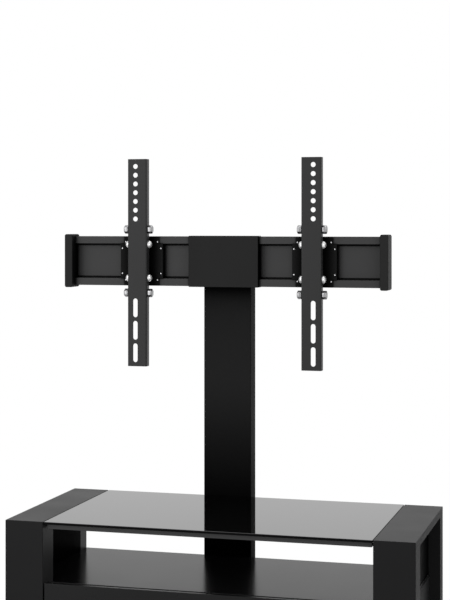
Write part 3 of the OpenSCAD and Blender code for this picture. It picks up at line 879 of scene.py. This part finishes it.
@dataclass
class Hoops:
    """The two side hoops, each a seamless lacquered frame, with what fills them."""

    shop: Workshop
    edge: float = 0.9 * MM
    pane_edge: float = 0.3 * MM

    def build(self) -> None:
        """Makes both sides."""
        for side in Side:
            self._hoop(side.word)
            self._infill(side.word)
        self.shop.dress_node("floor_glides", Palette.PAD_RUBBER)

    def _hoop(self, side: str) -> None:
        """Unites a hoop's legs and boards.

        Args:
            side: the side's word.
        """
        parts = [f"{side}_{part}" for part in ("top_board", "bottom_board", "front_leg", "back_leg")]
        hoop = self.shop.join_blocks(f"{side}_hoop", [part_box(part) for part in parts])
        self.shop.round_edges(hoop, self.edge)
        self.shop.hand_over(hoop, STAND, Palette.HOOP_LACQUER, parts)

    def _infill(self, side: str) -> None:
        """Finishes the glass and the board inside a hoop.

        Args:
            side: the side's word.
        """
        shop, node = self.shop, f"{side}_side_board"
        pane = f"{side}_glass_pane"
        shop.rounded_node(f"{side}_side_glass", pane, self.pane_edge, Palette.SIDE_GLASS)
        board = shop.add(f"{side}_box_side", block(*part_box(node)))
        shop.round_edges(board, self.edge)
        shop.hand_over(board, STAND, Palette.HOOP_LACQUER, [node])


@dataclass
class TopGlass:
    """The glass top and the steel frame under it."""

    shop: Workshop
    arris: float = 0.5 * MM
    tube_edge: float = 0.5 * MM

    def build(self) -> None:
        """Makes the glass and dresses its frame."""
        shop = self.shop
        shop.rounded_node("top_glass", "glass_plate", self.arris, Palette.TOP_GLASS)
        for node in ("front_bar", "rear_bar", "left_bar", "right_bar"):
            shop.rounded_node(node, f"{node}_tube", self.tube_edge, Palette.BAR_STEEL)
        shop.dress_node("bar_dowels", Palette.ZINC)


@dataclass
class Box:
    """The open bay's shelf, the lower box and its drawer."""

    shop: Workshop
    shelf_edge: float = 0.7 * MM
    front_edge: float = 0.6 * MM
    board_edge: float = 0.8 * MM
    pull_lip: float = 8.5 * MM
    pull_width: float = 6.5 * MM
    pull_depth: float = 6.0 * MM

    def build(self) -> None:
        """Makes the shelf, the box and the drawer."""
        shop = self.shop
        shop.rounded_node("shelf", "shelf_plate", self.shelf_edge, Palette.SHELF_LACQUER)
        for node in ("box_floor", "box_back", "left_inner_side", "right_inner_side"):
            shop.rounded_node(node, f"{node}_panel", self.board_edge, Palette.INNER_BOARD)
        self._front()
        for node in ("left_drawer_side", "right_drawer_side", "drawer_back", "drawer_bottom"):
            shop.rounded_node(node, f"{node}_panel", self.board_edge, Palette.INNER_BOARD, DRAWER)
        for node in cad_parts:
            if node.endswith("_runner"):
                shop.dress_node(node, Palette.ZINC)

    def _front(self) -> None:
        """Makes the drawer front with softly rounded edges and its pull groove."""
        shop = self.shop
        low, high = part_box("drawer_front")
        front = shop.add("drawer_panel", block(low, high))
        start = Vector((low.x - CUT_OVERRUN, low.y + self.pull_lip, high.z - self.pull_depth))
        end = Vector((high.x + CUT_OVERRUN, start.y + self.pull_width, high.z + CUT_OVERRUN))
        groove = shop.add("pull_groove", block(start, end))
        shop.combine(front, groove, "DIFFERENCE")
        shop.round_edges(front, self.front_edge)
        shop.hand_over(front, DRAWER, Palette.FRONT_LACQUER, ["drawer_front"])


@dataclass
class Column:
    """The steel column with what holds it."""

    shop: Workshop
    wall: float = 2.5 * MM
    corner: float = 2.6 * MM
    corner_facets: int = 5
    plate_edge: float = 0.6 * MM

    def build(self) -> None:
        """Makes the column, a drawn tube with round upright corners, and dresses its holders."""
        shop = self.shop
        low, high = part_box("column")
        column = shop.add("column_tube", block(low, high))
        shop.round_along(column, Z_AXIS, self.corner, self.corner_facets)
        inset = Vector((self.wall, self.wall, -CUT_OVERRUN))
        shop.combine(column, shop.add("column_bore", block(low + inset, high - inset)), "DIFFERENCE")
        shop.shade(column)
        shop.hand_over(column, STAND, Palette.COLUMN_STEEL, ["column"])
        for node in ("upper_crossbar", "lower_crossbar", "upper_bracket", "lower_bracket"):
            shop.rounded_node(node, f"{node}_steel", self.plate_edge, Palette.COLUMN_STEEL)
        shop.dress_node("head_plate", Palette.COLUMN_STEEL)
        for node in ("column_foot", "column_cap"):
            shop.rounded_node(node, f"{node}_plug", self.plate_edge, Palette.COVER_PLASTIC)
        for node in ("bracket_bolts", "rail_bolts"):
            shop.dress_node(node, Palette.ZINC)


@dataclass
class Rail:
    """The extruded rail with its end caps and centre cover."""

    shop: Workshop
    edge: float = 0.5 * MM
    cap_corner: float = 4.0 * MM
    cap_corner_facets: int = 8
    cap_edge: float = 1.7 * MM
    cover_edge: float = 0.9 * MM
    cover_wall: float = 2.0 * MM
    cover_gap: float = 0.3 * MM
    moulded_facets: int = 4
    flange_height: float = 15.5 * MM
    web: float = 5.0 * MM
    spigot_wall: float = 2.5 * MM
    spigot_depth: float = 10.0 * MM
    spigot_height: float = 10.5 * MM
    spigot_reach: float = 44.85 * MM

    def build(self) -> None:
        """Makes the rail, the caps and the cover."""
        shop = self.shop
        rail = shop.copy_of("rail_extrusion", "rail")
        shop.round_along(rail, X_AXIS, self.edge)
        shop.shade(rail)
        shop.hand_over(rail, STAND, Palette.RAIL_METAL, ["rail"])
        for side in Side:
            self._cap(side)
        self._cover()

    def _cap(self, side: Side) -> None:
        """Makes an end cap and its two spigots, which lie inside the rail's flanges.

        Args:
            side: the cap's side.
        """
        shop, node = self.shop, f"{side.word}_end_cap"
        low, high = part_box(node)
        rail_low, rail_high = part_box("rail")
        spigot_start, spigot_end = low.x, high.x
        if side is Side.LEFT:
            high.x = rail_low.x
            spigot_start = high.x - self.cap_edge
        else:
            low.x = rail_high.x
            spigot_end = low.x + self.cap_edge
        cap = shop.add(f"{node}_shell", block(low, high))
        shop.round_along(cap, Y_AXIS, self.cap_corner, self.cap_corner_facets)
        shop.round_edges(cap, self.cap_edge, self.moulded_facets)
        front = rail_low.y + self.spigot_wall
        middle = (rail_low.z + rail_high.z) / 2
        for way in (1, -1):
            base = middle + way * self.spigot_reach - self.spigot_height / 2
            first = Vector((spigot_start, front, base))
            last = Vector((spigot_end, front + self.spigot_depth, base + self.spigot_height))
            shop.combine(cap, shop.add(f"{node}_spigot", block(first, last)), "UNION")
        shop.shade(cap)
        shop.hand_over(cap, STAND, Palette.CAP_PLASTIC, [node])

    def _cover(self) -> None:
        """Makes the centre cover, a shallow tray that the rail's flanges pass through."""
        shop = self.shop
        low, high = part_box("centre_cover")
        rail_low, rail_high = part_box("rail")
        cover = shop.add("cover_shell", block(low, high))
        shop.round_edges(cover, self.cover_edge, self.moulded_facets)
        gap, wall, rim = self.cover_gap, self.cover_wall, self.cover_wall / 2
        middle = (rail_low.z + rail_high.z) / 2
        recess = (rail_high.z - rail_low.z) / 2 - self.flange_height
        web_y = rail_high.y - self.web - gap
        back = high.y + CUT_OVERRUN
        ends = (low.x - CUT_OVERRUN, high.x + CUT_OVERRUN)
        cuts = [
            ((low.x + wall, low.y + wall, low.z + rim), (high.x - wall, back, high.z - rim)),
            ((ends[0], web_y, middle - recess), (ends[1], back, middle + recess)),
        ]
        for base in (middle - recess - self.flange_height - gap, middle + recess - gap):
            top = base + self.flange_height + 2 * gap
            cuts.append(((ends[0], rail_low.y - gap, base), (ends[1], back, top)))
        for start, end in cuts:
            cutter = shop.add("cover_cut", block(Vector(start), Vector(end)))
            shop.combine(cover, cutter, "DIFFERENCE")
        shop.shade(cover)
        shop.hand_over(cover, STAND, Palette.COVER_PLASTIC, ["centre_cover"])


@dataclass
class Arm:
    """One upright screen arm with its slider and fasteners."""

    shop: Workshop
    trees: FastenerTree
    side: Side
    sheet: float = 2.5 * MM
    bend: float = 3.4 * MM
    least_bend: float = 0.3 * MM
    bend_steps: int = 5
    edge: float = 0.35 * MM
    edge_facets: int = 2
    hole_radius: float = 5.2 * MM
    hole_count: int = 7
    hole_pitch: float = 18.5 * MM
    hole_from_top: float = 15.6 * MM
    slot_count: int = 3
    slot_length: float = 39.6 * MM
    slot_radius: float = 5.0 * MM
    slot_pitch: float = 47.5 * MM
    slot_from_bottom: float = 8.7 * MM
    hole_outward: float = 4.0 * MM
    dome_radius: float = 7.8 * MM
    dome_height: float = 8.0 * MM
    dome_reach: float = 35.4 * MM
    dome_shank: float = 2.5 * MM
    dome_facets: int = 40
    nut_flats: float = 16.0 * MM
    nut_length: float = 10.0 * MM
    nut_edge: float = 0.9 * MM
    nut_edge_facets: int = 3
    nut_turn: float = math.radians(4)
    nut_seed: int = 7
    cross_shank: float = 4.0 * MM
    small_facets: int = 24
    cross_reach: float = 67.2 * MM
    cross_back: float = 1.44 * MM
    rivet_radius: float = 1.8 * MM
    rivet_height: float = 1.0 * MM
    rivet_places: tuple[tuple[float, float], ...] = (
        (43.04 * MM, 26.7 * MM), (35.4 * MM, 40.5 * MM),
    )
    low: Vector = field(init=False)
    high: Vector = field(init=False)
    centre: Vector = field(init=False)
    pin: Vector = field(init=False)

    def __post_init__(self) -> None:
        """Reads where the arm and its tilt pin are."""
        self.low, self.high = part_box(f"{self.side.word}_arm")
        self.centre = (self.low + self.high) / 2
        pin_low, pin_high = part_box(f"{self.side.word}_tilt_pin")
        self.pin = (pin_low + pin_high) / 2

    def build(self) -> None:
        """Makes the arm, its slider and the fasteners of both."""
        self._channel()
        self._bolts()
        self._slider()

    @property
    def arm_body(self) -> str:
        """The body that tilts."""
        return f"{self.side.word}_arm_body"

    @property
    def slider_body(self) -> str:
        """The body that slides along the rail."""
        return f"{self.side.word}_slider_body"

    def _section(self) -> Outline:
        """Outline of the folded channel, as pairs of X and Y.

        Returns:
            The outline, round at the bends outside and inside.
        """
        half = (self.high.x - self.low.x) / 2
        middle, front, back = self.centre.x, self.low.y, self.high.y
        outer, inner = self.bend, max(self.bend - self.sheet, self.least_bend)
        wall, floor = half - self.sheet, front + self.sheet
        turns = [math.pi / 2 * i / self.bend_steps for i in range(self.bend_steps + 1)]
        outside, inside = (
            [(x - r + r * math.sin(a), y + r - r * math.cos(a)) for a in turns]
            for x, y, r in ((half, front, outer), (wall, floor, inner))
        )
        right = [*outside, (half, back), (wall, back), *inside[::-1]]
        left = [(-x, y) for x, y in right[::-1]]
        return [(middle + x, y) for x, y in right + left]

    def _channel(self) -> None:
        """Folds the channel, cuts its holes and slots and rounds the cut edges."""
        shop, node = self.shop, f"{self.side.word}_arm"
        solid = prism(self._section(), self.low.z, self.high.z, lambda u, v, h: (u, v, h))
        arm = shop.add(f"{node}_channel", solid)
        hole_x = self.centre.x + self.side.value * self.hole_outward
        top = self.high.z - self.hole_from_top
        bottom = self.low.z + self.slot_from_bottom + self.slot_length / 2
        straight = self.slot_length - 2 * self.slot_radius
        outlines = [
            slot_outline(hole_x, top - i * self.hole_pitch, self.hole_radius, 0.0)
            for i in range(self.hole_count)
        ] + [
            slot_outline(hole_x, bottom + i * self.slot_pitch, self.slot_radius, straight)
            for i in range(self.slot_count)
        ]
        deep = (self.low.y - CUT_OVERRUN, self.low.y + self.sheet + CUT_OVERRUN)
        cutters = gather([prism(line, *deep, lambda u, v, h: (u, h, v)) for line in outlines])
        shop.combine(arm, shop.add(f"{node}_cutters", cutters), "DIFFERENCE")
        shop.round_edges(arm, self.edge, self.edge_facets)
        shop.hand_over(arm, self.arm_body, Palette.ARM_STEEL, [node])

    def _bolts(self) -> None:
        """Sets the domed heads, the cross nuts and the shanks between them."""
        word, body = self.side.word, self.arm_body
        domes = self._pairs(self.pin, self.dome_reach)
        cross = self._pairs(self.pin - Y_AXIS * self.cross_back, self.cross_reach)
        dome = lathe(dome_profile(self.dome_radius, self.dome_height), self.dome_facets)
        bolts = [f"{word}_arm_bolts"]
        self._set(f"{word}_domed_heads", dome, domes, Palette.POLISHED_DOME, body, bolts)
        nut = hex_nut(self.nut_flats, self.nut_length)
        bevel_edges(nut, nut.edges, self.nut_edge, self.nut_edge_facets)
        turns = {"loose_turn": self.nut_turn, "seed": self.nut_seed}
        self._set(f"{word}_cross_nuts", nut, cross, Palette.NUT_STEEL, body, **turns)
        inside = self.high.x - self.low.x
        for name, radius, places in (
            (f"{word}_dome_shanks", self.dome_shank, domes),
            (f"{word}_cross_shanks", self.cross_shank, cross),
        ):
            shank = lathe([(-inside, radius), (0.0, radius)], self.small_facets)
            self._set(name, shank, places[::2], Palette.ZINC, body)

    def _set(
        self,
        name: str,
        template: Shape,
        places: Places,
        finish: Palette,
        body: str,
        nodes: Iterable[str] = (),
        loose_turn: float = 0.0,
        seed: int = 0,
    ) -> None:
        """Sets a row of zinc-plated fasteners.

        Args:
            name: the row's name.
            template: one fastener about the origin, along +X.
            places: a point and an Euler turn for each fastener.
            finish: their finish.
            body: the body that they ride on.
            nodes: the CAD nodes that they replace.
            loose_turn: how far each may stand turned about its own axis, in radians.
            seed: seed of those turns.
        """
        row = self.trees.row(self.shop, name, template, places, finish, loose_turn, seed)
        self.shop.hand_over(row, body, finish, nodes)

    def _pairs(self, middle: Vector, reach: float) -> Places:
        """Places on both flanges, above and below a point.

        Args:
            middle: the point on the arm's middle plane.
            reach: height above and below it.

        Returns:
            A place and a turn for each, the right flange first.
        """
        half = (self.high.x - self.low.x) / 2
        places = []
        for up in (1, -1):
            for out, turn in ((1, TOWARDS["+X"]), (-1, TOWARDS["-X"])):
                places.append((middle + Vector((out * half, 0, up * reach)), turn))
        return places

    def _slider(self) -> None:
        """Finishes the slider and sets its rivets."""
        word, shop = self.side.word, self.shop
        node, body = f"{word}_slider", self.slider_body
        shop.rounded_node(node, f"{node}_block", self.edge, Palette.SLIDER_PLASTIC, body)
        low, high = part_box(f"{word}_rivets")
        middle = (low + high) / 2
        places = [
            (Vector((middle.x + sx * x, high.y, middle.z + sz * z)), TOWARDS["-Y"])
            for x, z in self.rivet_places for sx in (-1, 1) for sz in (-1, 1)
        ]
        rivet = lathe(dome_profile(self.rivet_radius, self.rivet_height), self.small_facets)
        nodes = [f"{word}_rivets"]
        self._set(f"{word}_rivet_heads", rivet, places, Palette.ZINC, body, nodes)
        shop.dress_node(f"{word}_tilt_pin", Palette.ZINC)


@dataclass(frozen=True)
class SoftLamp:
    """A square area lamp, with its place and side in metres and its power in watts."""

    name: str
    place: Triple
    side: float
    power: float

    def hang(self, target: Vector) -> None:
        """Hangs the lamp in the scene.

        Args:
            target: the point that it shines at.
        """
        lamp = bpy.data.lights.new(self.name, "AREA")
        lamp.size = self.side
        lamp.energy = self.power
        holder = bpy.data.objects.new(self.name, lamp)
        holder.location = self.place
        aim = target - Vector(self.place)
        holder.rotation_euler = aim.to_track_quat("-Z", "Y").to_euler()
        bpy.context.scene.collection.objects.link(holder)


@dataclass
class Studio:
    """The pale floor, the light and the camera."""

    LAMPS: ClassVar[tuple[SoftLamp, ...]] = (
        SoftLamp("key_lamp", place=(-2.2, -3.4, 2.6), side=2.4, power=62.0),
        SoftLamp("fill_lamp", place=(2.4, -3.0, 1.6), side=2.2, power=24.0),
        SoftLamp("top_lamp", place=(0.3, 0.5, 3.6), side=2.6, power=26.0),
        SoftLamp("low_lamp", place=(-1.3, -2.6, 0.6), side=0.9, power=7.0),
    )

    lamp_target: Triple = (0.0, 0.0, 0.6)
    clear_radius: float = 0.7
    white_radius: float = 1.25
    floor_size: float = 60.0
    floor_grey: float = 0.82
    floor_specular: float = 0.1
    matt: float = 0.9
    card_low: Triple = (0.47, 0.90, 0.002)
    card_high: Triple = (2.6, 0.91, 0.44)
    card_grey: float = 0.50
    horizon_row: float = 224.66
    image_height: float = 600.0
    focal_pixels: float = 1529.77
    sensor: float = 36.0
    camera_place: Triple = (0.8132, -2.95413, 1.02333)
    camera_turn: float = math.radians(15.59)
    camera_far: float = 100.0
    world_fill: float = 0.42

    def build(self) -> None:
        """Makes the floor, the world, the lamps and the camera."""
        self._floor()
        self._card()
        self._world()
        for lamp in self.LAMPS:
            lamp.hang(Vector(self.lamp_target))
        self._camera()

    def _floor(self) -> None:
        """Lays a floor that keeps the object's shadow and turns white away from it."""
        shape = bmesh.new()
        half = self.floor_size / 2
        outline = [(-half, -half, 0), (half, -half, 0), (half, half, 0), (-half, half, 0)]
        shape.faces.new([shape.verts.new(corner) for corner in outline])
        self._set_up("floor", shape, self._floor_material())

    def _card(self) -> None:
        """Stands a low grey card behind the right hoop, which only gloss sees."""
        shape = block(Vector(self.card_low), Vector(self.card_high))
        card = self._set_up("grey_card", shape, self._matt("card_grey", self.card_grey, 0.0))
        card.visible_camera = False
        card.visible_diffuse = False
        card.visible_shadow = False
        card.visible_transmission = False

    @staticmethod
    def _set_up(name: str, shape: Shape, material: bpy.types.Material) -> Piece:
        """Puts a thing of the studio into the scene.

        Args:
            name: its name.
            shape: its mesh, which is freed.
            material: its material.

        Returns:
            The object, which isn't part of the stand.
        """
        mesh = bpy.data.meshes.new(name)
        shape.to_mesh(mesh)
        shape.free()
        mesh.materials.append(material)
        thing = bpy.data.objects.new(name, mesh)
        bpy.context.scene.collection.objects.link(thing)
        return thing

    def _matt(self, name: str, grey: float, specular: float) -> bpy.types.Material:
        """Makes a plain matt material.

        Args:
            name: the material's name.
            grey: its linear grey.
            specular: its specular level.

        Returns:
            The material.
        """
        material = bpy.data.materials.new(name)
        material.use_nodes = True
        shader = material.node_tree.nodes["Principled BSDF"]
        shader.inputs["Base Color"].default_value = (grey, grey, grey, 1.0)
        shader.inputs["Roughness"].default_value = self.matt
        shader.inputs["Specular IOR Level"].default_value = specular
        return material

    def _floor_material(self) -> bpy.types.Material:
        """Makes the floor's material.

        Returns:
            Matt pale grey near the object, which blends to plain white further out.
        """
        material = self._matt("pale_floor", self.floor_grey, self.floor_specular)
        tree = material.node_tree
        nodes, links = tree.nodes, tree.links
        length = nodes.new("ShaderNodeVectorMath")
        length.operation = "LENGTH"
        links.new(nodes.new("ShaderNodeTexCoord").outputs["Object"], length.inputs[0])
        band = (self.clear_radius, self.white_radius)
        fade = remap(tree, length.outputs["Value"], band, (0.0, 1.0), "SMOOTHSTEP")
        glow = nodes.new("ShaderNodeEmission")
        links.new(self._seen(tree), glow.inputs["Strength"])
        mix = nodes.new("ShaderNodeMixShader")
        links.new(fade, mix.inputs["Fac"])
        links.new(nodes["Principled BSDF"].outputs["BSDF"], mix.inputs[1])
        links.new(glow.outputs["Emission"], mix.inputs[2])
        links.new(mix.outputs["Shader"], nodes["Material Output"].inputs["Surface"])
        return material

    def _seen(self, tree: Tree) -> Socket:
        """Strength of the white surroundings.

        Args:
            tree: the node tree that needs it.

        Returns:
            1 where the camera, a reflection or a transmitted ray looks, and the fill's level else.
        """
        path = tree.nodes.new("ShaderNodeLightPath")
        seen = path.outputs["Is Camera Ray"]
        for ray in ("Is Glossy Ray", "Is Transmission Ray"):
            seen = math_node(tree, "MAXIMUM", seen, path.outputs[ray])
        return remap(tree, seen, (0.0, 1.0), (self.world_fill, 1.0))

    def _world(self) -> None:
        """Makes the even white surroundings."""
        world = bpy.data.worlds.new("studio")
        world.use_nodes = True
        tree = world.node_tree
        background = tree.nodes["Background"]
        background.inputs["Color"].default_value = (1.0, 1.0, 1.0, 1.0)
        tree.links.new(self._seen(tree), background.inputs["Strength"])
        bpy.context.scene.world = world

    def _camera(self) -> None:
        """Sets the camera where the photograph was seen from."""
        lens = bpy.data.cameras.new("camera")
        lens.sensor_width = self.sensor
        lens.lens = self.focal_pixels * self.sensor / self.image_height
        lens.shift_y = (self.horizon_row - self.image_height / 2) / self.image_height
        lens.clip_end = self.camera_far
        camera = bpy.data.objects.new("camera", lens)
        camera.location = self.camera_place
        camera.rotation_euler = (math.pi / 2, 0.0, self.camera_turn)
        scene = bpy.context.scene
        scene.collection.objects.link(camera)
        scene.camera = camera
        scene.view_settings.view_transform = "Standard"


def main() -> None:
    """Builds each sub-assembly in turn."""
    logging.basicConfig(level=logging.INFO, format="%(name)s: %(message)s")
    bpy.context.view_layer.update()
    shop = Workshop()
    trees = FastenerTree()
    Studio().build()
    Hoops(shop).build()
    TopGlass(shop).build()
    Box(shop).build()
    Column(shop).build()
    Rail(shop).build()
    for side in Side:
        Arm(shop, trees, side).build()
    log.info("%d pieces made", len(shop.made))


if __name__ == "__main__":
    main()
